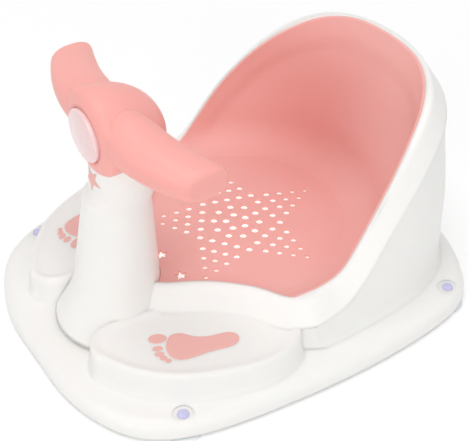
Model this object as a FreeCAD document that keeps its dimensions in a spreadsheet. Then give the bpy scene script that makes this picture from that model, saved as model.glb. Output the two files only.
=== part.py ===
import FreeCAD, Part
import math
import os
import Sketcher

V = FreeCAD.Vector
doc = FreeCAD.newDocument("bath_seat")
sheet = doc.addObject("Spreadsheet::Sheet", "sizes")

SIZES = [
    ("base_length", 391), ("base_width", 327), ("base_top", 18.5), ("skirt_gap", 2),
    ("edge_round", 9), ("wall", 3), ("seat_height", 57), ("seat_centre", 7),
    ("bowl_width", 236), ("bowl_reach", 162), ("bowl_front", 123), ("rim_rise", 136),
    ("rim_width", 17), ("rim_drop", 19), ("rim_lip", 2.5), ("lip_proud", 1),
    ("liner_thickness", 2), ("liner_gap", 0.5), ("star_reach", 76), ("hole_size", 6.6),
    ("drain_bore", 2.2), ("small_star_gap", 31), ("small_star_front", 77.5), ("small_star_size", 6),
    ("hull_width", 267.6), ("hull_reach", 178), ("hull_front", 133),
    ("post_centre", 121), ("post_foot", 36), ("post_head", 26.6), ("post_rise", 87.5),
    ("post_lean", 5), ("post_flare", 12), ("neck_radius", 26), ("neck_back", 4.5),
    ("plug_radius", 17), ("plug_depth", 16), ("plug_gap", 0.2), ("tenon_radius", 10),
    ("tenon_rise", 12), ("hub_rise", 148.6), ("hub_front", 134.5), ("hub_radius", 35.3),
    ("hub_depth", 62.6), ("hub_drop", 11), ("cap_radius", 21.2), ("cap_seat", 3), ("cap_proud", 3),
    ("cap_gap", 0.3), ("grip_reach", 101.6), ("grip_centre", 116.7), ("grip_rise", 152),
    ("grip_sweep", 23.8), ("grip_sag", 2.3), ("grip_root_wide", 18.3), ("grip_root_high", 22.6),
    ("grip_wide", 20.5), ("grip_high", 16.4), ("grip_end_wide", 18.5), ("grip_end_high", 12.4),
    ("star_rise", 107), ("neck_star_size", 10.5), ("star_inlay", 1.2),
    ("pad_drop", 12.5), ("pad_dish", 2.5), ("pad_rim", 5.6), ("pad_flare", 4), ("print_depth", 1.2),
    ("print_proud", 0.3),
    ("stud_front_x", 128), ("stud_front_y", 137.5), ("stud_back_x", 141), ("stud_back_y", 128.3),
    ("stud_hole", 3.6), ("stud_dish", 8.5), ("stud_sink", 0.8), ("cup_radius", 15.6), ("cup_height", 1.9), ("cup_hollow", 0.9), ("knob_radius", 4.6),
]
for row, (name, value) in enumerate(SIZES, 1):
    sheet.set(f"A{row}", name)
    sheet.set(f"B{row}", str(value))
    sheet.setAlias(f"B{row}", name)
doc.recompute()


def size(name):
    return float(sheet.get(name))


class Dim:
    """A length: its number, and the expression that ties it to the sheet."""

    def __init__(self, value, text):
        self.value, self.text = value, text

    def __add__(self, other):
        value, text = parts_of(other)
        return Dim(self.value + value, f"({self.text} + {text})")

    def __sub__(self, other):
        value, text = parts_of(other)
        return Dim(self.value - value, f"({self.text} - {text})")

    def __mul__(self, factor):
        return Dim(self.value * factor, f"({self.text} * {factor})")


def parts_of(other):
    return (other.value, other.text) if isinstance(other, Dim) else (float(other), str(other))


def dim(name):
    return Dim(size(name), f"sizes.{name}")


def bind(item, **lengths):
    """Tie properties of a document object to the sheet."""
    for prop, length in lengths.items():
        item.setExpression(prop.replace("_", "."), length.text)


WALL = size("wall")
FLOOR = size("seat_height")
CY = size("seat_centre")
BASE_TOP = size("base_top")

# Bowl sections as fractions of rim rise, half width and back reach, with the widest point's
# place along the seat, the squareness of the outline, and how upright the wall is there.
BOWL = [
    (0.000, 0.800, 0.592, 0.00, 2.00, 0.0), (0.011, 0.858, 0.634, 0.00, 2.00, 0.25),
    (0.045, 0.929, 0.685, 0.02, 2.05, 0.6), (0.112, 0.974, 0.732, 0.05, 2.10, 0.9),
    (0.251, 0.981, 0.770, 0.09, 2.20, 1.0), (0.447, 0.961, 0.826, 0.16, 2.40, 1.0),
    (0.670, 0.916, 0.892, 0.23, 2.50, 1.0), (0.866, 0.877, 0.944, 0.29, 2.50, 1.0),
    (1.150, 0.826, 1.015, 0.35, 2.50, 1.0),
]
# Outer wall: height above the base top as a fraction of its span, width, reach, middle, squareness.
HULL = [
    (-0.012, 1.055, 1.026, 0.20, 2.9), (0.015, 1.022, 1.008, 0.20, 2.9), (0.070, 1.004, 1.000, 0.20, 2.9),
    (0.200, 0.998, 0.998, 0.20, 2.9), (0.380, 0.979, 0.998, 0.20, 2.9), (0.490, 0.955, 0.998, 0.20, 2.9),
    (0.590, 0.935, 1.000, 0.20, 2.8), (0.680, 0.919, 1.000, 0.20, 2.7), (0.770, 0.920, 1.001, 0.20, 2.55),
    (0.832, 0.917, 1.001, 0.20, 2.5), (0.876, 0.900, 1.001, 0.20, 2.4), (0.980, 0.860, 1.002, 0.20, 2.4),
]
# Top edge of the liner, front middle to back middle: half width, back or front reach, rim rise.
RIM = [
    (0.000, -0.690, 0.028), (0.161, -0.671, 0.028), (0.283, -0.600, 0.028), (0.361, -0.507, 0.028),
    (0.464, -0.389, 0.028), (0.593, -0.286, 0.028), (0.754, -0.192, 0.028), (0.908, -0.127, 0.034),
    (0.973, -0.061, 0.045), (0.989, 0.028, 0.067), (0.992, 0.103, 0.106), (0.985, 0.193, 0.210),
    (0.971, 0.281, 0.346), (0.940, 0.379, 0.482), (0.906, 0.488, 0.612), (0.857, 0.600, 0.726),
    (0.766, 0.746, 0.844), (0.637, 0.857, 0.924), (0.386, 0.957, 0.981), (0.000, 0.999, 1.000),
]
# Base outline, front middle to back middle, as fractions of half width and half length.
BASE = [
    (0.000, -1.000), (0.330, -0.990), (0.655, -0.890), (0.838, -0.702), (0.930, -0.415),
    (0.988, -0.015), (1.000, 0.340), (0.956, 0.670), (0.805, 0.838), (0.490, 0.955), (0.000, 1.000),
]
# Right foot rest, its dished floor's edge, in millimetres from the seat's centre.
PAD = [
    (53, -170), (79, -158), (112, -125), (129, -87), (135, -50), (123, -27), (92, -33), (60, -66),
    (45, -106), (39, -137), (40, -160),
]


def ring_points(half_x, back, front, mid, power, count=28):
    """Closed rounded outline: half_x wide, from -front to back, widest at mid."""
    pts = []
    for k in range(count):
        a = 2 * math.pi * k / count
        c, s = math.cos(a), math.sin(a)
        x = half_x * math.copysign(abs(c) ** (2 / power), c)
        depth = back - mid if s >= 0 else front + mid
        pts.append((x, mid + depth * math.copysign(abs(s) ** (2 / power), s)))
    return pts


def closed_spline(points, z=None, even_seam=True):
    """Smooth closed outline through the points, with an even run over its seam at the first one."""
    pts = [V(p[0], p[1], z if z is not None else p[2]) for p in points]
    seam = {}
    if even_seam:
        seam = {"Tangents": [(pts[1] - pts[-1]) * 0.5] * len(pts), "TangentFlags": [True] + [False] * (len(pts) - 1)}
    curve = Part.BSplineCurve()
    curve.interpolate(Points=pts, PeriodicFlag=True, Parameters=[float(k) for k in range(len(pts) + 1)], **seam)
    return Part.Wire(curve.toShape())


def mirrored(points):
    """Full closed outline from one half whose ends lie on the middle plane."""
    return list(points) + [(-p[0],) + tuple(p[1:]) for p in reversed(points[1:-1])]


def prism(wire, z0, z1):
    face = Part.Face(wire)
    face.translate(V(0, 0, z0 - wire.BoundBox.ZMin))
    return face.extrude(V(0, 0, z1 - z0))


def bowl(grow):
    """Solid that fills the bowl, grown outward by grow from the liner's inner face."""
    wires = []
    half, reach, front, rise = size("bowl_width") / 2, size("bowl_reach"), size("bowl_front"), size("rim_rise")
    for fz, fw, fy, fm, power, upright in BOWL:
        out = grow * upright
        z = FLOOR + rise * fz - grow * (1 - upright)
        pts = ring_points(half * fw + out, reach * fy + out, front + out, reach * fm, power)
        wires.append(closed_spline([(x, y + CY) for x, y in pts], z))
    return Part.makeLoft(wires, True, False)


def hull(grow, low=None):
    """Outer wall's solid from the base up past the rim."""
    wires = []
    span = FLOOR + size("rim_rise") - BASE_TOP
    for i, (fz, fw, fy, fm, power) in enumerate(HULL):
        z = BASE_TOP + span * fz
        if i == 0 and low is not None:
            z = low
        pts = ring_points(size("hull_width") / 2 * fw + grow, size("hull_reach") * fy + grow,
                          size("hull_front") + grow, size("hull_reach") * fm, power)
        wires.append(closed_spline([(x, y + CY) for x, y in pts], z))
    return Part.makeLoft(wires, True, False)


def rim_curve():
    half, reach, rise = size("bowl_width") / 2, size("bowl_reach"), size("rim_rise")
    return [(half * fx, CY + reach * fy, FLOOR + rise * fz) for fx, fy, fz in RIM]


def above(shift_z, outward=0.0):
    """Everything above the rim's side profile, moved by shift_z; outward follows the rim's slope out."""
    pts = rim_curve()
    prof = [(-320.0, pts[0][2] + shift_z), (-90.0, pts[0][2] + shift_z)]
    last = None
    for i in range(7, len(pts)):
        x0, y0, z0 = pts[i - 1]
        x1, y1 = pts[i + 1][:2] if i + 1 < len(pts) else (-pts[i - 1][0], pts[i - 1][1])
        run = math.hypot(x1 - x0, y1 - y0)
        ny = -(x1 - x0) / run if y1 >= y0 - 1 else 1.0
        y = pts[i][1] + outward * max(0.0, ny)
        if last is None or y > last + 4:
            prof.append((y, pts[i][2] + shift_z))
            last = y
    prof.append((last + 40, prof[-1][1] + 6))
    curve = Part.BSplineCurve()
    curve.interpolate(Points=[V(0, y, z) for y, z in prof])
    top = 600.0
    a, b = V(0, prof[0][0], prof[0][1]), V(0, prof[-1][0], prof[-1][1])
    edges = [curve.toShape(), Part.makeLine(b, V(0, b.y, top)),
             Part.makeLine(V(0, b.y, top), V(0, a.y, top)), Part.makeLine(V(0, a.y, top), a)]
    face = Part.Face(Part.Wire(edges))
    face.translate(V(-300, 0, 0))
    return face.extrude(V(600, 0, 0))


def seat_field():
    """Upright prism over the liner's plan: its front follows the two leg openings."""
    pts = rim_curve()[:8]
    half = size("bowl_width") / 2
    side = [(half * 0.985, CY - 8), (half * 1.06, CY + 18), (half * 1.30, CY + 60)]
    return front_prism([(p[0], p[1]) for p in pts] + side)


def leg_field(out):
    """Upright prism behind the seat's front wall, which stands out from the liner's edge."""
    full = rim_curve()[:10]
    normals = [(0.0, -1.0)]
    for before, after in zip(full, full[2:]):
        run = math.hypot(after[0] - before[0], after[1] - before[1])
        normals.append(((after[1] - before[1]) / run, -(after[0] - before[0]) / run))
    front = [(p[0] + n[0] * out, p[1] + n[1] * out) for p, n in zip(full, normals)]
    x, y = front[-1]
    return front_prism(front + [(x + 7, y + 12), (x + 17, y + 30), (x + 42, y + 75)])


def front_prism(half_line):
    """Upright prism from a front edge, given from its middle to the right, back past the seat."""
    line = [(-x, y) for x, y in reversed(half_line[1:])] + half_line
    curve = Part.BSplineCurve()
    curve.interpolate(Points=[V(x, y, 0) for x, y in line])
    a, b = V(line[0][0], line[0][1], 0), V(line[-1][0], line[-1][1], 0)
    back = CY + size("bowl_reach") + 80
    c, d = V(b.x, back, 0), V(a.x, back, 0)
    wire = Part.Wire([curve.toShape(), Part.makeLine(b, c), Part.makeLine(c, d), Part.makeLine(d, a)])
    return Part.Face(wire).extrude(V(0, 0, 500))


def outward_normals(pts):
    """Level outward directions of a closed curve that runs anticlockwise from its front."""
    out = []
    for k in range(len(pts)):
        x0, y0 = pts[k - 1][:2]
        x1, y1 = pts[(k + 1) % len(pts)][:2]
        run = math.hypot(x1 - x0, y1 - y0)
        out.append(((y1 - y0) / run, -(x1 - x0) / run))
    return out


def rim_band(shrink=0.0):
    """Sloped band that runs round under the rim, outside the liner's edge."""
    pts = mirrored(rim_curve())
    normals = outward_normals(pts)
    lip, width, drop, proud = size("rim_lip"), size("rim_width"), size("rim_drop"), size("lip_proud")
    section = [(-6, proud), (lip, proud), (lip + 1.5, proud - 1.0), (width, -drop),
               (width - 5, -drop - 2), (-6, -drop)]
    steps = [0.0]
    for k in range(len(pts)):
        a, b = V(*pts[k]), V(*pts[(k + 1) % len(pts)])
        steps.append(steps[-1] + (b - a).Length)
    loops = []
    for out, lift in section:
        curve = Part.BSplineCurve()
        path = [V(x + nx * out, y + ny * out, z + lift) for (x, y, z), (nx, ny) in zip(pts, normals)]
        curve.interpolate(Points=path, PeriodicFlag=True, Parameters=steps)
        loops.append(curve.toShape())
    faces = [Part.makeRuledSurface(loops[k], loops[(k + 1) % len(loops)]) for k in range(len(loops))]
    shell = Part.makeShell(faces)
    shell.sewShape()
    band = Part.makeSolid(shell)
    return band if band.Volume > 0 else band.reversed()


def base_plate(grow, z0, z1):
    half_x, half_y = size("base_width") / 2 + grow, size("base_length") / 2 + grow
    wire = closed_spline(mirrored([(half_x * x, half_y * y) for x, y in BASE]), 0)
    return prism(wire, z0, z1)


def grown(points, by):
    """Closed anticlockwise outline moved outward by a distance."""
    return [(x + nx * by, y + ny * by) for (x, y), (nx, ny) in zip(points, outward_normals(points))]


def offset_outline(by, z, count=30):
    """Foot rest's floor outline moved outward by a distance, at a height."""
    base = Part.BSplineCurve()
    base.interpolate(Points=[V(x, y + CY, 0) for x, y in PAD], PeriodicFlag=True)
    first, last = base.FirstParameter, base.LastParameter
    pts = []
    for k in range(count):
        at = first + (last - first) * k / count
        spot, along = base.value(at), base.tangent(at)[0]
        pts.append((spot.x + along.y * by, spot.y - along.x * by))
    return closed_spline(pts, z)


def foot_rest():
    """Right foot rest: flared foot, steep wall, soft crest and a shallow dish, in one skin."""
    top, rim, flare, dish = pad_top(), size("pad_rim"), size("pad_flare"), size("pad_dish")
    rise = top - BASE_TOP
    steps = [(rim + flare, BASE_TOP - 2), (rim + 0.6 * flare, BASE_TOP + 0.8), (rim + 0.3 * flare, BASE_TOP + 3.5),
             (rim, BASE_TOP + 0.45 * rise), (0.9 * rim, top - 3.2), (0.7 * rim, top - 0.9), (0.35 * rim, top),
             (0.0, top - 0.25 * dish), (-0.35 * rim, top - 0.7 * dish), (-0.8 * rim, top - 0.95 * dish),
             (-1.05 * rim, top - dish)]
    return Part.makeLoft([offset_outline(by, z) for by, z in steps], True, False)


def foot_rest_hollow():
    """Space under the foot rest."""
    inner = size("pad_rim") - WALL
    return Part.makeLoft([offset_outline(inner, BASE_TOP - 2 * WALL),
                          offset_outline(inner - 0.6, pad_top() - size("pad_dish") - WALL)], True, True)


def pad_top():
    return FLOOR - size("pad_drop")


def flip(shape):
    return shape.mirror(V(0, 0, 0), V(1, 0, 0))


def post(grow, flare):
    """Front post: a cone that leans back, with a flared foot."""
    foot, head, rise = size("post_foot") + grow, size("post_head") + grow, size("post_rise") + min(grow, 0)
    low = BASE_TOP - FLOOR
    slope = (head - foot) / size("post_rise")
    pts = [V(0, 0, low), V(foot - slope * -low + flare if flare else foot + slope * low, 0, low)]
    r_low = foot + slope * low
    if flare:
        pts = [V(0, 0, low - 1), V(r_low + flare, 0, low - 1)]
        curve = Part.BSplineCurve()
        curve.interpolate(Points=[V(r_low + flare, 0, low - 1), V(r_low + flare * 0.28, 0, low + 16),
                                  V(foot + slope * 4, 0, 4)],
                          InitialTangent=V(-0.5, 0, 1), FinalTangent=V(slope, 0, 1))
        side = curve.toShape()
        start = V(foot + slope * 4, 0, 4)
    else:
        pts = [V(0, 0, low - 30), V(r_low - slope * 30, 0, low - 30)]
        start = V(foot + slope * 4, 0, 4)
        side = Part.makeLine(pts[1], start)
    top = V(foot + slope * rise, 0, rise)
    round_top = 3.0
    corner = V(top.x - round_top, 0, rise)
    under = V(top.x - slope * round_top, 0, rise - round_top)
    knee = Part.Arc(under, V(top.x - 0.3 * round_top, 0, rise - 0.3 * round_top), corner).toShape()
    edges = [Part.makeLine(pts[0], pts[1]), side, Part.makeLine(start, under), knee,
             Part.makeLine(corner, V(0, 0, rise)), Part.makeLine(V(0, 0, rise), pts[0])]
    solid = Part.Face(Part.Wire(edges)).revolve(V(0, 0, 0), V(0, 0, 1), 360)
    return leaning(solid)


def leaning(solid):
    """Set a solid built on the post's foot at its place, leaning toward the backrest."""
    solid.rotate(V(0, 0, 0), V(1, 0, 0), -size("post_lean"))
    solid.translate(V(0, CY - size("post_centre"), FLOOR))
    return solid


def drain_holes():
    """Centres and sizes of the drain holes: a five-pointed star, largest holes in its middle."""
    reach, big = size("star_reach"), size("hole_size")
    out = []
    for k in range(5):
        a = math.radians(90 + 72 * k)
        out.append((0.123 * reach, a, 0.0, big))
        for side in (0, 1):
            out.append((0.266 * reach, a + side * math.radians(36), 0.0, 0.97 * big))
        corner = 0.506
        apothem, half = corner * math.cos(math.radians(36)), corner * math.sin(math.radians(36))
        for step in range(4):
            out.append((apothem * reach, a, (-1 + step * 0.5) * half * reach, 0.92 * big))
        for n, dist, scale in ((4, 0.571, 0.86), (3, 0.714, 0.77), (2, 0.857, 0.68), (1, 1.0, 0.6)):
            for j in range(n):
                out.append((dist * reach, a, (j - (n - 1) / 2) * 0.136 * reach, scale * big))
    spots = []
    for dist, a, along, dia in out:
        x = dist * math.cos(a) - along * math.sin(a)
        y = dist * math.sin(a) + along * math.cos(a)
        spots.append((x, y + CY, dia / 2))
    return spots


def star_wire(x, y, z, reach, waist=0.45, turn=90):
    pts = []
    for k in range(10):
        a = math.radians(turn + 36 * k)
        r = reach if k % 2 == 0 else reach * waist
        pts.append(V(x + r * math.cos(a), y + r * math.sin(a), z))
    return Part.makePolygon(pts + pts[:1])


def small_stars():
    """Faces of the three small stars in the liner, in a row in front of the drain holes."""
    gap, y = size("small_star_gap"), CY - size("small_star_front")
    low = FLOOR - size("liner_thickness") - 2
    return [Part.Face(star_wire(k * gap, y, low, size("small_star_size"))) for k in (-1, 0, 1)]


def studs():
    fx, fy, bx, by = (size(n) for n in ("stud_front_x", "stud_front_y", "stud_back_x", "stud_back_y"))
    return {"front_left": (-fx, CY - fy), "front_right": (fx, CY - fy),
            "back_left": (-bx, CY + by), "back_right": (bx, CY + by)}


def rounded_plate(grow, z0, z1, radius):
    """Base plate with its top edge rounded."""
    plate = base_plate(grow, z0, z1)
    return plate.makeFillet(radius, [e for e in plate.Edges if e.BoundBox.ZMin > z1 - 0.01])


def base_shell(cutters):
    """White moulding: base, seat wall with its rim, foot rests and front post."""
    edge, liner, width, drop = size("edge_round"), size("liner_thickness"), size("rim_width"), size("rim_drop")
    rest = foot_rest()
    wall = hull(0).common(leg_field(width)).cut(above(0.4 - drop, width))
    pan = bowl(liner + WALL).common(seat_field()).cut(above(-0.5))
    solid = rounded_plate(0, size("skirt_gap"), BASE_TOP, edge)
    solid = solid.fuse([wall, rim_band(), rest, flip(rest), post(0, size("post_flare")), pan])
    solid = solid.cut(bowl(liner).common(seat_field()))
    solid = solid.fuse(post(0, 0).common(Part.makeBox(400, 400, 400, V(-200, -200, BASE_TOP + 2))))
    return solid.cut(shell_hollow()).cut(cutters)


def shell_hollow():
    """Space inside the moulding, open to the tub below."""
    liner, width, drop = size("liner_thickness"), size("rim_width"), size("rim_drop")
    plate = rounded_plate(-WALL, -1, BASE_TOP - WALL, size("edge_round") - WALL)
    wall = hull(-WALL, -1).common(leg_field(width - WALL)).cut(above(-drop - WALL, width))
    plan = grown([q[:2] for q in mirrored(rim_curve())], -7)
    under = hull(-WALL, -1).common(prism(closed_spline(plan, -1), -1, 250)).cut(above(-0.5))
    rest = foot_rest_hollow()
    hollow = plate.fuse([wall, rest, flip(rest), under])
    return hollow.cut(bowl(liner + WALL)).fuse(post(-WALL, 0))


def seat_liner():
    """Soft pink liner: a skin on the bowl with the star of drain holes."""
    thick = size("liner_thickness")
    skin = bowl(thick).common(seat_field()).cut(above(0)).cut(bowl(0)).cut(post(size("liner_gap"), 0))
    cutters = [Part.makeCylinder(r, thick + 4, V(x, y, FLOOR - thick - 2)) for x, y, r in drain_holes()]
    cutters += [face.extrude(V(0, 0, thick + 4)) for face in small_stars()]
    return skin.cut(cutters)


def rounded_section(middle, across, up, half_across, half_up, power, count=20):
    """Closed rounded outline about a point, in the plane of two directions."""
    pts = []
    for k in range(count):
        a = 2 * math.pi * k / count
        c, q = math.cos(a), math.sin(a)
        spot = middle + across * (half_across * math.copysign(abs(c) ** (2 / power), c))
        pts.append(tuple(spot + up * (half_up * math.copysign(abs(q) ** (2 / power), q))))
    return closed_spline(pts, even_seam=False)


# Hub of the handle, front to back: share of its depth, share of its radius.
HUB = [(0.0, 0.70), (0.02, 0.82), (0.05, 0.92), (0.09, 0.98), (0.14, 1.0), (0.35, 0.985), (0.52, 0.935),
       (0.67, 0.855), (0.79, 0.75), (0.89, 0.605), (0.955, 0.43), (0.988, 0.25), (1.0, 0.12)]
# Grip, root to end: share of its reach, place between root and middle or middle and end, share of its size.
GRIP = [(0.04, 0.0, 1.0), (0.25, 0.0, 1.0), (0.45, 0.5, 1.0), (0.65, 1.0, 1.0), (0.83, 1.5, 1.0), (0.955, 1.87, 1.0),
        (0.985, 1.95, 0.955), (1.0, 2.0, 0.86)]


def between(values, place):
    """Straight-line value at place 0 to 2 between root, middle and end."""
    k = min(int(place), 1)
    return values[k] + (values[k + 1] - values[k]) * (place - k)


def handle_form():
    """Outer form of the handle: a round hub and two grips that sweep back."""
    front, depth, r = CY - size("hub_front"), size("hub_depth"), size("hub_radius")
    rings = []
    for along, share in HUB:
        middle = V(0, front + depth * along, FLOOR + size("hub_rise") - size("hub_drop") * along ** 2)
        rings.append(rounded_section(middle, V(1, 0, 0), V(0, 0, 1), r * share, r * share, 2.0))
    hub = Part.makeLoft(rings, True, False)
    wide = [size(n) for n in ("grip_root_wide", "grip_wide", "grip_end_wide")]
    high = [size(n) for n in ("grip_root_high", "grip_high", "grip_end_high")]
    rings = []
    for along, place, share in GRIP:
        middle = V(size("grip_reach") * along, CY - size("grip_centre") + size("grip_sweep") * along ** 2,
                   FLOOR + size("grip_rise") - size("grip_sag") * along ** 2)
        rings.append(rounded_section(middle, V(0, 1, 0), V(0, 0, 1), between(wide, place) * share,
                                     between(high, place) * share, 2.5))
    grip = Part.makeLoft(rings, True, False)
    return hub.fuse([grip, flip(grip)])


SOLE = [(73.5, -117), (72, -110.5), (76, -104), (83, -98.5), (89, -90), (92.5, -79.5), (96, -71.5),
        (101.5, -68.5), (106.5, -70.5), (109, -76.5), (107, -86), (104, -96.5), (102, -108), (100, -116.5),
        (96, -122.5), (89.5, -125), (81, -123)]
TOES = [(69.0, -124.0, 7.3, 4.9), (78.2, -129.2, 4.2, 2.7), (84.2, -130.9, 3.8, 2.4), (89.2, -130.4, 3.0, 2.2),
        (93.8, -128.6, 2.3, 2.0)]
TOE_TURN = 62.0


def footprint_faces():
    """Flat outline of the right footprint, a sole and five toes, at the bottom of its recess."""
    level = pad_top() - size("pad_dish") - size("print_depth")
    wires = [closed_spline([(x, y + CY) for x, y in SOLE], level)]
    for x, y, a, b in TOES:
        ring = Part.Ellipse(V(0, 0, 0), a, b).toShape()
        ring.rotate(V(0, 0, 0), V(0, 0, 1), TOE_TURN)
        ring.translate(V(x, y + CY, level))
        wires.append(Part.Wire(ring))
    return Part.makeCompound([Part.Face(w) for w in wires])


def feature(name, shape):
    item = doc.addObject("Part::Feature", name)
    item.Shape = shape
    return item


def boolean(kind, name, base, tool):
    item = doc.addObject(f"Part::{kind}", name)
    item.Base, item.Tool = base, tool
    return item


def cylinder(name, radius, height):
    item = doc.addObject("Part::Cylinder", name)
    bind(item, Radius=radius, Height=height)
    return item


def extruded(name, outline, direction, length):
    item = doc.addObject("Part::Extrusion", name)
    item.Base = outline
    item.DirMode = "Custom"
    item.Dir = direction
    item.Solid = True
    bind(item, LengthFwd=length)
    return item


def set_on_post(item, height):
    """Place an item on the neck's leaning axis, its foot at a height up the post."""
    turn = FreeCAD.Rotation(V(1, 0, 0), -size("post_lean"))
    foot = V(0, CY - size("post_centre") + size("neck_back"), FLOOR)
    item.Placement = FreeCAD.Placement(foot + turn.multVec(V(0, 0, height)), turn)


def revolved(name, corners, dome=False):
    """Body turned about its upright axis from a half outline; a dome closes it with an arc to the axis."""
    body = doc.addObject("PartDesign::Body", name)
    sketch = body.newObject("Sketcher::SketchObject", name + "_outline")
    plane = next(f for f in body.Origin.OriginFeatures if f.Role == "XZ_Plane")
    sketch.AttachmentSupport = [(plane, "")]
    sketch.MapMode = "FlatFace"
    spots = [V(across.value, up.value, 0) for across, up in corners]
    lines = len(spots) - 1 if dome else len(spots)
    for k in range(lines):
        sketch.addGeometry(Part.LineSegment(spots[k], spots[(k + 1) % len(spots)]), False)
    if dome:
        add_dome(sketch, spots[-1], spots[0], lines)
    for k in range(lines if dome else lines - 1):
        last = k + 1 == len(spots) - 1 and dome
        sketch.addConstraint(Sketcher.Constraint("Coincident", k, 2, k + 1, 1))
        if last:
            break
    if not dome:
        sketch.addConstraint(Sketcher.Constraint("Coincident", lines - 1, 2, 0, 1))
    for k, (across, up) in enumerate(corners):
        tie(sketch, "DistanceX", k, across)
        tie(sketch, "DistanceY", k, up)
    turned = body.newObject("PartDesign::Revolution", name + "_turned")
    turned.Profile = sketch
    turned.ReferenceAxis = (sketch, ["V_Axis"])
    turned.Angle = 360
    return body


def add_dome(sketch, edge, crown, number):
    """Arc from the outline's last corner to its first, with its centre on the axis."""
    rise, half = crown.y - edge.y, edge.x
    radius = (half ** 2 + rise ** 2) / (2 * rise)
    circle = Part.Circle(V(0, crown.y - radius, 0), V(0, 0, 1), radius)
    start = math.atan2(edge.y - crown.y + radius, edge.x)
    sketch.addGeometry(Part.ArcOfCircle(circle, start, math.pi / 2), False)
    sketch.addConstraint(Sketcher.Constraint("Coincident", number, 2, 0, 1))
    sketch.addConstraint(Sketcher.Constraint("PointOnObject", number, 3, -2))


def tie(sketch, kind, corner, length):
    """Hold a corner's distance from the sketch's origin to a length of the sheet."""
    if length.value == 0.0:
        axis = -2 if kind == "DistanceX" else -1
        sketch.addConstraint(Sketcher.Constraint("PointOnObject", corner, 1, axis))
        return
    number = sketch.addConstraint(Sketcher.Constraint(kind, -1, 1, corner, 1, length.value))
    sketch.setExpression(f"Constraints[{number}]", length.text)


NONE = Dim(0.0, "0")


def build_cups():
    """Clear cups under the base, each with a stud that snaps up through it."""
    r, tall, knob, stem = dim("cup_radius"), dim("cup_height"), dim("knob_radius"), dim("stud_hole") - 0.1
    under = dim("base_top") - dim("wall") - 0.05
    over = dim("base_top") - dim("stud_sink") + 0.05
    corners = [(NONE, dim("cup_hollow")), (r * 0.5, dim("cup_hollow") * 0.76), (r - 1.6, NONE), (r - 0.4, NONE),
               (r, Dim(0.4, "0.4")), (r * 0.86, tall * 0.6), (r * 0.5, tall), (r * 0.36, tall + 1.6),
               (r * 0.36, under), (stem, under), (stem, over), (knob, over),
               (knob * 0.92, over + 1.6), (knob * 0.6, over + 2.9), (NONE, over + 3.2)]
    for name, (x, y) in studs().items():
        cup = revolved(f"suction_cup_{name}", corners)
        cup.Placement = FreeCAD.Placement(V(x, y, 0), FreeCAD.Rotation())


def build_handle():
    """Pink handle, its glossy disc, the white neck below and the star in the neck."""
    form = feature("handle_form", handle_form())
    seat = cylinder("disc_seat", dim("cap_radius") + dim("cap_gap"), dim("cap_seat") + 5)
    front = V(0, CY - size("hub_front") + size("cap_seat"), FLOOR + size("hub_rise"))
    forward = FreeCAD.Rotation(V(1, 0, 0), 90)
    seat.Placement = FreeCAD.Placement(front, forward)
    peg = dim("hub_rise") - dim("post_rise") - dim("hub_radius") + dim("tenon_rise")
    bore = cylinder("tenon_bore", dim("tenon_radius") + dim("plug_gap"), peg + 1)
    set_on_post(bore, size("post_rise"))
    hollows = doc.addObject("Part::MultiFuse", "handle_hollows")
    hollows.Shapes = [seat, bore]
    boolean("Cut", "handle", form, hollows)
    r, proud, deep = dim("cap_radius"), dim("cap_proud") + dim("cap_seat"), NONE
    cap = revolved("hub_cap", [(NONE, proud + 1.8), (NONE, deep), (r, deep), (r, proud - 1.2), (r - 1.2, proud)], True)
    cap.Placement = FreeCAD.Placement(front, forward)
    build_neck(form, peg)


def build_neck(form, peg):
    """White neck: plug in the post, cradle under the hub, tenon in it, and a pink star in front."""
    foot = dim("post_rise")
    tall = dim("hub_rise") - foot - dim("hub_radius") * 0.62
    blank = revolved("neck_blank", [(NONE, dim("plug_depth") * -1), (dim("plug_radius"), dim("plug_depth") * -1),
                                    (dim("plug_radius"), NONE), (dim("neck_radius"), NONE),
                                    (dim("neck_radius"), tall), (NONE, tall)])
    set_on_post(blank, size("post_rise"))
    cradle = boolean("Cut", "neck_cradle", blank, form)
    tenon = cylinder("tenon", dim("tenon_radius"), peg)
    set_on_post(tenon, size("post_rise"))
    neck = boolean("Fuse", "neck_and_tenon", cradle, tenon)
    bar_face = star_wire(0, 0, 0, size("neck_star_size"), 0.42)
    outline = feature("star_outline", Part.Face(bar_face))
    bar = extruded("star_bar", outline, V(0, 0, 1), dim("neck_radius") * 2)
    spot = V(0, CY - size("post_centre") - size("neck_radius") - 12, FLOOR + size("star_rise"))
    bar.Placement = FreeCAD.Placement(spot, FreeCAD.Rotation(V(1, 0, 0), -90))
    skin = boolean("Cut", "star_skin", cylinder("skin_outside", dim("neck_radius") + 0.3, tall),
                   cylinder("skin_inside", dim("neck_radius") - dim("star_inlay"), tall))
    set_on_post(skin, size("post_rise"))
    star = boolean("Common", "neck_star", bar, skin)
    boolean("Cut", "handle_neck", neck, star)


def shell_cutters():
    """Drain bores, stud holes with their dishes, footprint recesses and the neck's socket."""
    bore, dish = size("drain_bore"), size("stud_sink")
    tools = [Part.makeCylinder(bore / 2, 20, V(x, y, FLOOR - 15)) for x, y, r in drain_holes()]
    for x, y in studs().values():
        tools.append(Part.makeCylinder(size("stud_hole"), 20, V(x, y, 5)))
        tools.append(Part.makeCylinder(0.36 * size("cup_radius") + 0.3, BASE_TOP - WALL, V(x, y, 0)))
        tools.append(Part.makeCylinder(size("stud_dish"), 5, V(x, y, BASE_TOP - dish)))
    deep = V(0, 0, size("print_depth") + 5)
    prints = [face.extrude(deep) for face in footprint_faces().Faces]
    tools += prints + [flip(tool) for tool in prints]
    socket = Part.makeCylinder(size("plug_radius") + size("plug_gap"), size("plug_depth") + 5,
                               V(0, 0, size("post_rise") - size("plug_depth") - 0.2))
    socket = leaning(socket)
    socket.translate(V(0, size("neck_back"), 0))
    return tools + [socket]


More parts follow.
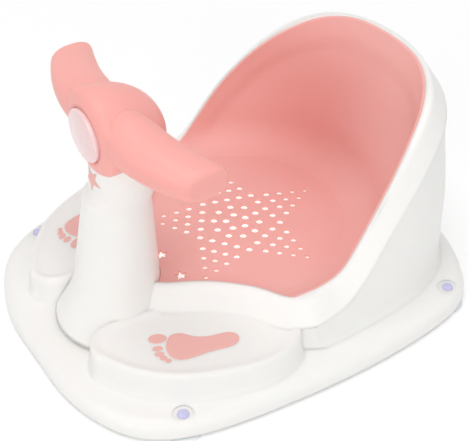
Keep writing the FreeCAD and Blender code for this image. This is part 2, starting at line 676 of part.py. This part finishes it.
def build():
    feature("base_shell", base_shell(shell_cutters()))
    feature("seat_liner", seat_liner())
    outline = feature("footprint_outline", footprint_faces())
    right = extruded("footprint_right", outline, V(0, 0, 1), dim("print_depth") + dim("print_proud"))
    left = doc.addObject("Part::Mirroring", "footprint_left")
    left.Source, left.Normal = right, V(1, 0, 0)
    build_handle()
    build_cups()


NODES = ["base_shell", "seat_liner", "handle", "handle_neck", "neck_star", "hub_cap", "footprint_right",
         "footprint_left"] + [f"suction_cup_{name}" for name in studs()]

build()
doc.recompute()
for item in doc.Objects:
    if "Invalid" in item.State or "Error" in item.State:
        raise RuntimeError(f"{item.Name} failed: {item.State}")
for name in NODES:
    shape = doc.getObject(name).Shape
    if shape.isNull() or not shape.isValid() or not shape.Solids:
        raise RuntimeError(f"{name} has no valid shape")
os.makedirs("parts", exist_ok=True)
for name in NODES:
    item = doc.getObject(name)
    item.Label = name
    item.Shape.exportStep(f"parts/{name}.step")
    print(name, len(item.Shape.Solids), round(item.Shape.Volume / 1000, 2), "cm3")
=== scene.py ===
import math

import bmesh
import bpy
from mathutils import Matrix, Vector


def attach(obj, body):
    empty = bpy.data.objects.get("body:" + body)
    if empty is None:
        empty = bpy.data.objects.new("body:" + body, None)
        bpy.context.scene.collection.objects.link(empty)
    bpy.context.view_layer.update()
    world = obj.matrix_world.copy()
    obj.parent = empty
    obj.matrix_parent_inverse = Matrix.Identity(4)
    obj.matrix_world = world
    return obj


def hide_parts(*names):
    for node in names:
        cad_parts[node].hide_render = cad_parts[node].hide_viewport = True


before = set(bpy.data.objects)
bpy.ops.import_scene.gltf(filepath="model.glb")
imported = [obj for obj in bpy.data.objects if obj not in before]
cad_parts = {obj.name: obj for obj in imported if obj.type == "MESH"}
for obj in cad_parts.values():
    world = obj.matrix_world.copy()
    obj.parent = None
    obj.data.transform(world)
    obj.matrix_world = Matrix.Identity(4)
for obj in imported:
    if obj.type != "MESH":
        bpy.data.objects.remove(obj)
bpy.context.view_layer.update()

# Lengths are in metres, in the frame of the CAD: z up, y to the backrest.

# Camera: the place that the photograph was taken from, worked out from the star of drain holes.
PHOTO_WIDTH = 469
FOCAL_PIXELS = 987.0
SENSOR = 36.0
STAR_CENTRE = Vector((0.0, 0.007, 0.057))
AZIMUTH = math.radians(55.71)
ELEVATION = math.radians(40.99)
DISTANCE = 0.8755
AIM_RIGHT = 0.0019
AIM_UP = -0.00015
NEAREST_SEEN = 0.01

# Light and floor. A strength of one shows as white.
SEEN_STRENGTH = 1.0
WORLD_LIGHT = 0.61
FLOOR_COLOUR = (0.92, 0.92, 0.92, 1.0)
FLOOR_GLOW = 0.195
FLOOR_FADE = 0.9
FLOOR_HALF = 6.0
FLOOR_DROP = 0.0002
# Lamps: name, place, size and power.
LAMPS = [
    ("overhead", (0.0, -0.1, 1.5), 0.7, 5.2),
    ("front", (0.3, -1.6, 1.0), 1.0, 4.6),
    ("right", (1.5, -0.5, 0.7), 1.0, 5.0),
]

# Colours: what each plastic is, and what its clouds tend to; the hub disc's lighter clouds are painted
# reflections.
WHITE, WHITE_SHADE = (0.93, 0.922, 0.90, 1.0), (0.905, 0.893, 0.866, 1.0)
LINER, LINER_SHADE = (0.90, 0.465, 0.43, 1.0), (0.87, 0.43, 0.395, 1.0)
GRIP, GRIP_SHADE = (0.97, 0.435, 0.395, 1.0), (0.95, 0.40, 0.36, 1.0)
PRINT, PRINT_SHADE = (0.93, 0.52, 0.48, 1.0), (0.90, 0.48, 0.44, 1.0)
DISC, DISC_PAINTED_REFLECTION = (0.87, 0.57, 0.565, 1.0), (0.92, 0.72, 0.72, 1.0)
CUP, CUP_SHADE = (0.66, 0.66, 0.87, 1.0), (0.50, 0.50, 0.80, 1.0)

# What all plastics share. Patterns have their cycles per metre and their detail.
COAT_ROUGHNESS = 0.08
SUBSURFACE_SCALE = 0.004
CLOUD_SIZE, CLOUD_DETAIL = 14.0, 3.0
GLOSS_SIZE, GLOSS_DETAIL = 60.0, 4.0
GLOSS_BELOW, GLOSS_ABOVE = 0.05, 0.06
GRAIN_DETAIL, GRAIN_DEPTH = 2.0, 0.0002
EDGE_RADIUS, EDGE_SAMPLES = 0.005, 6

# Painted shade: a deeper pink painted into the hollow of the back, where shade falls: colour, middle, reach
# and strength.
LINER_PAINTED_SHADE = (0.76, 0.28, 0.25, 1.0)
PAINTED_SHADE_SPOT = (-0.052, 0.135, 0.099)
PAINTED_SHADE_REACH = 0.115
PAINTED_SHADE_SHARE = 0.9
# Cups: clear below the first height, the colour of their studs above the second.
CUP_CLEAR = (0.86, 0.86, 0.88, 1.0)
CUP_LEVELS = (0.006, 0.014)
# Painted glow in the pan under the drain holes, so that they look lit: strength, colour, heights that it
# begins and stops between, and radii that it fades between.
PAN_GLOW, PAN_COLOUR = 0.45, (1.0, 0.97, 0.93, 1.0)
PAN_FOOT, PAN_TOP, PAN_RADII = (0.0515, 0.0525), (0.0555, 0.0565), (0.079, 0.090)

# Liner rim from the leg openings to the top of the back: y, z, and how far from the rim a point
# lies for each metre that it lies lower.
RIM = [
    (-0.105, 0.0608, 1.0), (-0.024, 0.0608, 1.0), (-0.003, 0.0631, 0.98), (0.0115, 0.0661, 0.92),
    (0.0237, 0.0714, 0.72), (0.0383, 0.0856, 0.62), (0.0525, 0.1041, 0.64), (0.0684, 0.1226, 0.69),
    (0.0861, 0.1402, 0.74), (0.1042, 0.1557, 0.81), (0.1279, 0.1718, 0.88), (0.1458, 0.1827, 0.94),
    (0.1620, 0.1904, 0.98), (0.1690, 0.1930, 1.0),
]
# Padded band below the rim: it rises between two values of y, and widens between two others.
BAND_WIDTH, BAND_NARROW = 0.0190, 0.4
BAND_EDGE, BAND_RISE = 0.014, 0.0015
BAND_STARTS, BAND_WIDENS = (0.01, 0.06), (0.0, 0.10)

# Hub from front to back: share of the depth and share of the radius.
HUB_FRONT = (0.0, -0.1275, 0.2056)
HUB_DEPTH, HUB_DROP, HUB_RADIUS = 0.0626, 0.011, 0.0353
HUB = [
    (0.0, 0.70), (0.02, 0.82), (0.05, 0.92), (0.09, 0.98), (0.14, 1.0), (0.35, 0.985), (0.52, 0.935),
    (0.67, 0.855), (0.79, 0.75), (0.89, 0.605), (0.955, 0.43), (0.988, 0.25), (1.0, 0.02),
]
DISC_SEAT_RADIUS, DISC_SEAT_DEPTH, DISC_SEAT_MIDDLE = 0.0215, 0.003, 0.001

# Grip from root to end: share of the reach, half its depth, half its height, squareness and
# shift to the back.
GRIP_ROOT, GRIP_REACH, GRIP_SWEEP, GRIP_SAG = (0.0, -0.1097, 0.2090), 0.1016, 0.0238, 0.0023
GRIP_RINGS = [
    (0.04, 0.0202, 0.0222, 2.1, 0.0022), (0.28, 0.0202, 0.0220, 2.1, 0.0022),
    (0.36, 0.0206, 0.0206, 2.2, 0.0018), (0.46, 0.0207, 0.0187, 2.3, 0.0010),
    (0.60, 0.0205, 0.0168, 2.4, 0.0003), (0.75, 0.0202, 0.0150, 2.5, 0.0),
    (0.90, 0.0193, 0.0133, 2.5, 0.0), (0.955, 0.0188, 0.0128, 2.5, 0.0),
    (0.985, 0.0179, 0.0120, 2.5, 0.0), (1.0, 0.0164, 0.0107, 2.5, 0.0),
]
# End face of a grip: shares of its outline, its step outwards, and its upright ridge.
GRIP_END = (0.93, 0.8, 0.6, 0.4, 0.2, 0.02)
GRIP_END_STEP, GRIP_RIDGE, GRIP_RIDGE_SHARE, GRIP_RIDGE_FADE = 0.0004, 0.0010, 0.8, 4

# Neck on its leaning axis: height, radius and shift to the back.
POST_FOOT, POST_LEAN = (0.0, -0.114, 0.057), math.radians(5.0)
NECK = [
    (0.0810, 0.02655, 0.0), (0.0845, 0.0267, 0.0001), (0.0865, 0.0266, 0.0008), (0.0885, 0.0264, 0.0022),
    (0.0905, 0.0261, 0.0036), (0.0930, 0.0259, 0.0045), (0.1000, 0.02585, 0.0045), (0.1300, 0.02585, 0.0045),
]

# Meshes: power of a round outline, points in an outline, and rings from one row of a table to the next.
ROUND = 2.0
RING_POINTS, NECK_POINTS = 64, 96
HUB_STEPS, GRIP_STEPS, NECK_STEPS = 4, 5, 4


def make_camera():
    """Camera that stands where the photograph was taken."""
    right = Vector((math.cos(AZIMUTH), math.sin(AZIMUTH), 0.0))
    up = Vector((-math.sin(AZIMUTH) * math.sin(ELEVATION), math.cos(AZIMUTH) * math.sin(ELEVATION),
                 math.cos(ELEVATION)))
    back = right.cross(up)
    place = STAR_CENTRE + back * DISTANCE - right * AIM_RIGHT - up * AIM_UP
    data = bpy.data.cameras.new("camera")
    data.sensor_width = SENSOR
    data.lens = FOCAL_PIXELS * SENSOR / PHOTO_WIDTH
    data.clip_start = NEAREST_SEEN
    camera = bpy.data.objects.new("camera", data)
    turn = Matrix((right, up, back)).transposed().to_4x4()
    camera.matrix_world = Matrix.Translation(place) @ turn
    bpy.context.scene.collection.objects.link(camera)
    bpy.context.scene.camera = camera


def area_light(name, place, size, power):
    """Soft square lamp that faces the seat."""
    data = bpy.data.lights.new(name, "AREA")
    data.size = size
    data.energy = power
    lamp = bpy.data.objects.new(name, data)
    lamp.location = place
    lamp.rotation_euler = (STAR_CENTRE - Vector(place)).to_track_quat("-Z", "Y").to_euler()
    bpy.context.scene.collection.objects.link(lamp)


def make_world():
    """Even white surroundings: plain white where seen, dimmer where they light the object."""
    world = bpy.data.worlds.new("studio")
    world.use_nodes = True
    tree = world.node_tree
    tree.nodes.clear()
    out = tree.nodes.new("ShaderNodeOutputWorld")
    light = background(tree, WORLD_LIGHT)
    seen = background(tree, SEEN_STRENGTH)
    tree.links.new(mix_shaders(tree, seen_rays(tree), light, seen), out.inputs["Surface"])
    bpy.context.scene.world = world


def background(tree, strength):
    """White of a strength, for the world."""
    node = tree.nodes.new("ShaderNodeBackground")
    node.inputs["Color"].default_value = (1.0, 1.0, 1.0, 1.0)
    node.inputs["Strength"].default_value = strength
    return node.outputs[0]


def mix_shaders(tree, share, first, second):
    """Shader that goes from the first to the second as the share goes from zero to one."""
    mix = tree.nodes.new("ShaderNodeMixShader")
    for slot, source in enumerate((share, first, second)):
        tree.links.new(source, mix.inputs[slot])
    return mix.outputs[0]


def seen_rays(tree):
    """One for camera, mirror and see-through rays, else zero."""
    path = tree.nodes.new("ShaderNodeLightPath").outputs
    direct = calc(tree, "MAXIMUM", path["Is Camera Ray"], path["Is Glossy Ray"])
    return calc(tree, "MAXIMUM", direct, path["Is Transmission Ray"])


def make_floor():
    """Pale floor that keeps the seat's soft shadow and fades to white away from it."""
    mesh = bpy.data.meshes.new("floor")
    corners = [(-FLOOR_HALF, -FLOOR_HALF), (FLOOR_HALF, -FLOOR_HALF), (FLOOR_HALF, FLOOR_HALF),
               (-FLOOR_HALF, FLOOR_HALF)]
    mesh.from_pydata([(x, y, -FLOOR_DROP) for x, y in corners], [], [(0, 1, 2, 3)])
    floor = bpy.data.objects.new("floor", mesh)
    bpy.context.scene.collection.objects.link(floor)
    mesh.materials.append(floor_material())


def floor_material():
    """Matt floor with a little light of its own, which only shows and doesn't light the seat."""
    material = bpy.data.materials.new("floor")
    material.use_nodes = True
    tree = material.node_tree
    tree.nodes.clear()
    out = tree.nodes.new("ShaderNodeOutputMaterial")
    seen = seen_rays(tree)
    matt = tree.nodes.new("ShaderNodeBsdfDiffuse")
    matt.inputs["Color"].default_value = FLOOR_COLOUR
    glow = tree.nodes.new("ShaderNodeEmission")
    tree.links.new(calc(tree, "MULTIPLY", seen, FLOOR_GLOW), glow.inputs["Strength"])
    lit = tree.nodes.new("ShaderNodeAddShader")
    tree.links.new(matt.outputs[0], lit.inputs[0])
    tree.links.new(glow.outputs[0], lit.inputs[1])
    white = tree.nodes.new("ShaderNodeEmission")
    place = tree.nodes.new("ShaderNodeTexCoord")
    far = calc(tree, "SUBTRACT", 1.0, nearness(tree, place, (0.0, 0.0, 0.0), FLOOR_FADE))
    faded = mix_shaders(tree, calc(tree, "MULTIPLY", far, seen), lit.outputs[0], white.outputs[0])
    tree.links.new(faded, out.inputs["Surface"])
    return material


def plastic(name, colour, shade, roughness, grain, grain_size, soft=0.0, coat=0.0,
            cloud_size=CLOUD_SIZE, tint_and_painted_shade=None, height=None, edge=None, glow=None):
    """Moulded plastic or rubber: cloudy colour, uneven gloss and a fine grain in the surface.

    A tint changes the colour by place, and on the liner paints shade into the hollow of the back; a height
    gives relief, an edge is the radius that corners look rounded by, and a glow paints light into the surface
    by place.
    """
    material = bpy.data.materials.new(name)
    material.use_nodes = True
    tree = material.node_tree
    place = tree.nodes.new("ShaderNodeTexCoord")
    inputs = tree.nodes["Principled BSDF"].inputs
    inputs["Coat Weight"].default_value = coat
    inputs["Coat Roughness"].default_value = COAT_ROUGHNESS
    inputs["Subsurface Weight"].default_value = soft
    inputs["Subsurface Scale"].default_value = SUBSURFACE_SCALE
    colours = cloudy(tree, place, cloud_size, colour, shade)
    # Colour by place: a tint, and on the liner a painted shade.
    if tint_and_painted_shade:
        colours = tint_and_painted_shade(tree, place, colours)
    tree.links.new(colours, inputs["Base Color"])
    tree.links.new(uneven_gloss(tree, place, roughness), inputs["Roughness"])
    # Painted glow: the surface gives off light of its own where the glow says.
    if glow:
        inputs["Emission Color"].default_value = PAN_COLOUR
        tree.links.new(glow(tree, place), inputs["Emission Strength"])
    under = None
    if height:
        under = relief(tree, height(tree, place), 1.0, 1.0)
    elif edge:
        under = rounded_edges(tree, edge)
    fine = noise(tree, place, grain_size, GRAIN_DETAIL)
    tree.links.new(relief(tree, fine, grain, GRAIN_DEPTH, under), inputs["Normal"])
    return material


def cloudy(tree, place, size, colour, shade):
    """Colour that drifts to a shade in soft clouds."""
    blend = tree.nodes.new("ShaderNodeMix")
    blend.data_type = "RGBA"
    blend.inputs["A"].default_value = colour
    blend.inputs["B"].default_value = shade
    tree.links.new(noise(tree, place, size, CLOUD_DETAIL), blend.inputs["Factor"])
    return blend.outputs["Result"]


def uneven_gloss(tree, place, roughness):
    """Roughness that varies a little about its value."""
    gloss = tree.nodes.new("ShaderNodeMapRange")
    gloss.inputs["To Min"].default_value = roughness - GLOSS_BELOW
    gloss.inputs["To Max"].default_value = roughness + GLOSS_ABOVE
    tree.links.new(noise(tree, place, GLOSS_SIZE, GLOSS_DETAIL), gloss.inputs["Value"])
    return gloss.outputs["Result"]


def relief(tree, height, strength, distance, under=None):
    """Surface direction from a height, over another one if there is one."""
    bump = tree.nodes.new("ShaderNodeBump")
    bump.inputs["Strength"].default_value = strength
    bump.inputs["Distance"].default_value = distance
    tree.links.new(height, bump.inputs["Height"])
    if under:
        tree.links.new(under, bump.inputs["Normal"])
    return bump.outputs["Normal"]


def rounded_edges(tree, radius):
    """Surface direction as if edges were rounded by a radius."""
    soften = tree.nodes.new("ShaderNodeBevel")
    soften.samples = EDGE_SAMPLES
    soften.inputs["Radius"].default_value = radius
    return soften.outputs["Normal"]


def calc(tree, kind, first, second=None):
    """Arithmetic on sockets or numbers."""
    node = tree.nodes.new("ShaderNodeMath")
    node.operation = kind
    for slot, value in enumerate((first, second)):
        if isinstance(value, (int, float)):
            node.inputs[slot].default_value = value
        elif value is not None:
            tree.links.new(value, node.inputs[slot])
    return node.outputs[0]


def ramp(tree, source, low, high, first, last):
    """Smooth step from a first to a last value, between a low and a high reading of a socket."""
    node = tree.nodes.new("ShaderNodeMapRange")
    node.interpolation_type = "SMOOTHSTEP"
    for name, value in (("From Min", low), ("From Max", high), ("To Min", first), ("To Max", last)):
        node.inputs[name].default_value = value
    tree.links.new(source, node.inputs["Value"])
    return node.outputs["Result"]


def lookup(tree, source, pairs):
    """Smooth curve through pairs of numbers, read at a socket."""
    low, high = pairs[0][0], pairs[-1][0]
    span = max(value for at, value in pairs)
    curve = tree.nodes.new("ShaderNodeFloatCurve")
    line = curve.mapping.curves[0]
    points = [((at - low) / (high - low), value / span) for at, value in pairs]
    line.points[0].location, line.points[1].location = points[0], points[-1]
    for at, value in points[1:-1]:
        line.points.new(at, value)
    curve.mapping.update()
    share = calc(tree, "DIVIDE", calc(tree, "SUBTRACT", source, low), high - low)
    tree.links.new(share, curve.inputs["Value"])
    return calc(tree, "MULTIPLY", curve.outputs[0], span)


def noise(tree, place, scale, detail):
    """Cloud pattern fixed to the seat, scale in cycles per metre."""
    pattern = tree.nodes.new("ShaderNodeTexNoise")
    pattern.inputs["Scale"].default_value = scale
    pattern.inputs["Detail"].default_value = detail
    tree.links.new(place.outputs["Object"], pattern.inputs["Vector"])
    return pattern.outputs["Fac"]


def coordinates(tree, place):
    """Sockets of x, y and z."""
    split = tree.nodes.new("ShaderNodeSeparateXYZ")
    tree.links.new(place.outputs["Object"], split.inputs[0])
    return split.outputs["X"], split.outputs["Y"], split.outputs["Z"]


def nearness(tree, place, spot, reach):
    """One at a spot, fading smoothly to zero at a distance from it."""
    away = tree.nodes.new("ShaderNodeVectorMath")
    away.operation = "DISTANCE"
    tree.links.new(place.outputs["Object"], away.inputs[0])
    away.inputs[1].default_value = spot
    return ramp(tree, away.outputs["Value"], 0.0, reach, 1.0, 0.0)


def nearness_flat(tree, x, y, near, far):
    """One within a distance of the star's upright axis, zero past a longer one."""
    across = calc(tree, "POWER", x, 2.0)
    along = calc(tree, "POWER", calc(tree, "SUBTRACT", y, STAR_CENTRE.y), 2.0)
    away = calc(tree, "SQRT", calc(tree, "ADD", across, along))
    return ramp(tree, away, near, far, 1.0, 0.0)


def overlay(tree, share, under, colour):
    """Colour laid over a colour socket by a share."""
    mix = tree.nodes.new("ShaderNodeMix")
    mix.data_type = "RGBA"
    tree.links.new(share, mix.inputs["Factor"])
    tree.links.new(under, mix.inputs["A"])
    mix.inputs["B"].default_value = colour
    return mix.outputs["Result"]


def liner_band(tree, place):
    """Padded band along the liner's rim, as a height that fades out at the leg openings."""
    y, z = coordinates(tree, place)[1:]
    rim = lookup(tree, y, [(at, high) for at, high, slope in RIM])
    slope = lookup(tree, y, [(at, slope) for at, high, slope in RIM])
    depth = calc(tree, "MULTIPLY", calc(tree, "SUBTRACT", rim, z), slope)
    width = ramp(tree, y, *BAND_WIDENS, BAND_NARROW * BAND_WIDTH, BAND_WIDTH)
    inside = calc(tree, "DIVIDE", calc(tree, "SUBTRACT", depth, width), BAND_EDGE)
    step = ramp(tree, inside, -0.5, 0.5, BAND_RISE, 0.0)
    return calc(tree, "MULTIPLY", step, ramp(tree, y, *BAND_STARTS, 0.0, 1.0))


def liner_painted_shade(tree, place, under):
    """Painted shade: deeper pink in the hollow of the back, where it lies in shade."""
    share = calc(tree, "MULTIPLY", nearness(tree, place, PAINTED_SHADE_SPOT, PAINTED_SHADE_REACH), PAINTED_SHADE_SHARE)
    return overlay(tree, share, under, LINER_PAINTED_SHADE)


def cup_tint(tree, place, under):
    """Clear flange, bluish stud."""
    z = coordinates(tree, place)[2]
    return overlay(tree, ramp(tree, z, *CUP_LEVELS, 1.0, 0.0), under, CUP_CLEAR)


def pan_glow(tree, place):
    """Painted glow in the white pan below the liner, so that the drain holes look bright."""
    x, y, z = coordinates(tree, place)
    level = calc(tree, "MULTIPLY", ramp(tree, z, *PAN_FOOT, 0.0, PAN_GLOW),
                 ramp(tree, z, *PAN_TOP, 1.0, 0.0))
    return calc(tree, "MULTIPLY", level, nearness_flat(tree, x, y, *PAN_RADII))


def ring(middle, across, up, half_across, half_up, power, count=RING_POINTS):
    """Closed outline about a point, in the plane of two directions: round, or squarer with more power."""
    spots = []
    for k in range(count):
        turn = 2.0 * math.pi * k / count
        c, s = math.cos(turn), math.sin(turn)
        spots.append(middle + across * (half_across * math.copysign(abs(c) ** (2.0 / power), c))
                     + up * (half_up * math.copysign(abs(s) ** (2.0 / power), s)))
    return spots


def smooth_rows(rows, steps):
    """Rows of numbers with more rows between them, on a Catmull-Rom curve."""
    dense = []
    for k in range(len(rows) - 1):
        around = rows[max(k - 1, 0)], rows[k], rows[k + 1], rows[min(k + 2, len(rows) - 1)]
        for step in range(steps):
            t = step / steps
            dense.append(tuple(
                0.5 * (2 * b + (c - a) * t + (2 * a - 5 * b + 4 * c - d) * t * t
                       + (3 * b - a - 3 * c + d) * t ** 3)
                for a, b, c, d in zip(*around)))
    return dense + [rows[-1]]


def skin(bm, rings):
    """Faces between rings, with their ends closed."""
    rows = [[bm.verts.new(spot) for spot in spots] for spots in rings]
    count = len(rows[0])
    for low, high in zip(rows, rows[1:]):
        for k in range(count):
            bm.faces.new((low[k], low[(k + 1) % count], high[(k + 1) % count], high[k]))
    bm.faces.new(rows[0][::-1])
    bm.faces.new(rows[-1])


def finish_piece(bm, name, slot, material, *nodes):
    """Smooth object from a mesh in work, set in place of CAD nodes."""
    bmesh.ops.recalc_face_normals(bm, faces=bm.faces)
    mesh = bpy.data.meshes.new(name)
    bm.to_mesh(mesh)
    bm.free()
    mesh.shade_smooth()
    piece = bpy.data.objects.new(name, mesh)
    bpy.context.scene.collection.objects.link(piece)
    mesh.materials.append(material)
    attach(piece, "root")
    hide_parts(*nodes)


def make_handle(material):
    """Soft handle: a domed hub with the disc's seat, and two grips that sweep back from it."""
    bm = bmesh.new()
    skin(bm, hub_rings())
    for sign in (1.0, -1.0):
        rings = grip_rings(sign)
        skin(bm, rings + end_rings(rings[-1], sign))
    finish_piece(bm, "handle_soft", "pink_grip", material, "handle")


def hub_rings():
    """Outlines of the hub: the floor and wall of the disc's seat, then the dome to its back."""
    front, side, up = Vector(HUB_FRONT), Vector((1, 0, 0)), Vector((0, 0, 1))
    seat = [(DISC_SEAT_DEPTH, DISC_SEAT_MIDDLE), (DISC_SEAT_DEPTH, DISC_SEAT_RADIUS), (0.0, DISC_SEAT_RADIUS)]
    rings = [ring(front + Vector((0, depth, 0)), side, up, radius, radius, ROUND) for depth, radius in seat]
    for along, share in smooth_rows(HUB, HUB_STEPS):
        middle = front + Vector((0, HUB_DEPTH * along, -HUB_DROP * along ** 2))
        rings.append(ring(middle, side, up, HUB_RADIUS * share, HUB_RADIUS * share, ROUND))
    return rings


def grip_rings(sign):
    """Outlines of the grip on one side, from its root in the hub to its end."""
    rings = []
    for along, deep, high, power, shift in smooth_rows(GRIP_RINGS, GRIP_STEPS):
        middle = Vector(GRIP_ROOT) + Vector((sign * GRIP_REACH * along, GRIP_SWEEP * along ** 2 + shift,
                                             -GRIP_SAG * along ** 2))
        rings.append(ring(middle, Vector((0, 1, 0)), Vector((0, 0, 1)), deep, high, power))
    return rings


def end_rings(last, sign):
    """Face of a grip's end: rings that shrink to its middle, with a faint upright ridge."""
    middle = sum(last, Vector()) / len(last)
    reach = GRIP_RIDGE_SHARE * max(abs(spot.y - middle.y) for spot in last)
    rings = []
    for share in GRIP_END:
        spots = []
        for spot in last:
            inner = middle + (spot - middle) * share
            ridge = max(0.0, 1.0 - abs(inner.y - middle.y) / reach) * GRIP_RIDGE
            inner.x += sign * (GRIP_END_STEP + ridge * (1.0 - share ** GRIP_RIDGE_FADE))
            spots.append(inner)
        rings.append(spots)
    return rings


def make_neck(material):
    """White neck, with a soft shoulder where it stands on the post."""
    bm = bmesh.new()
    axis = Vector((0, math.sin(POST_LEAN), math.cos(POST_LEAN)))
    side = Vector((1, 0, 0))
    rings = []
    for height, radius, shift in smooth_rows(NECK, NECK_STEPS):
        middle = Vector(POST_FOOT) + axis * height + Vector((0, shift, 0))
        rings.append(ring(middle, side, axis.cross(side), radius, radius, ROUND, NECK_POINTS))
    skin(bm, rings)
    finish_piece(bm, "neck_and_shoulder", "white_pp", material, "handle_neck")


def dress(material, *names):
    """Give CAD nodes a material."""
    for name in names:
        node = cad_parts[name]
        node.data.materials.clear()
        node.data.materials.append(material)


def dress_nodes():
    """Materials of the CAD nodes, and the pieces that stand for two of them."""
    # White plastic, with a painted glow in the pan under the drain holes.
    white = plastic("white_pp", WHITE, WHITE_SHADE, roughness=0.38, grain=0.10, grain_size=1800.0, soft=0.05,
                    edge=EDGE_RADIUS, glow=pan_glow)
    grip = plastic("pink_grip", GRIP, GRIP_SHADE, roughness=0.45, grain=0.15, grain_size=2000.0, soft=0.08)
    # The liner's colour carries painted shade in the hollow of the back.
    liner = plastic("pink_liner", LINER, LINER_SHADE, roughness=0.62, grain=0.25, grain_size=2400.0, soft=0.08,
                    tint_and_painted_shade=liner_painted_shade, height=liner_band)
    inlay = plastic("pink_tpe", PRINT, PRINT_SHADE, roughness=0.62, grain=0.25, grain_size=2400.0, soft=0.08)
    # Hub disc: its lighter pink clouds are painted reflection streaks.
    disc = plastic("pale_gloss", DISC, DISC_PAINTED_REFLECTION, roughness=0.18, grain=0.02, grain_size=900.0, coat=0.6,
                   cloud_size=45.0)
    clear = plastic("clear_pvc", CUP, CUP_SHADE, roughness=0.25, grain=0.02, grain_size=900.0, soft=0.2,
                    coat=0.5, cloud_size=160.0, tint_and_painted_shade=cup_tint)
    dress(white, "base_shell", "handle_neck")
    dress(grip, "handle")
    dress(liner, "seat_liner")
    dress(inlay, "footprint_right", "footprint_left", "neck_star")
    dress(disc, "hub_cap")
    dress(clear, *(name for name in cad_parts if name.startswith("suction_cup")))
    make_handle(grip)
    make_neck(white)


make_camera()
make_world()
make_floor()
for lamp in LAMPS:
    area_light(*lamp)
dress_nodes()
bpy.context.scene.view_settings.view_transform = "Standard"
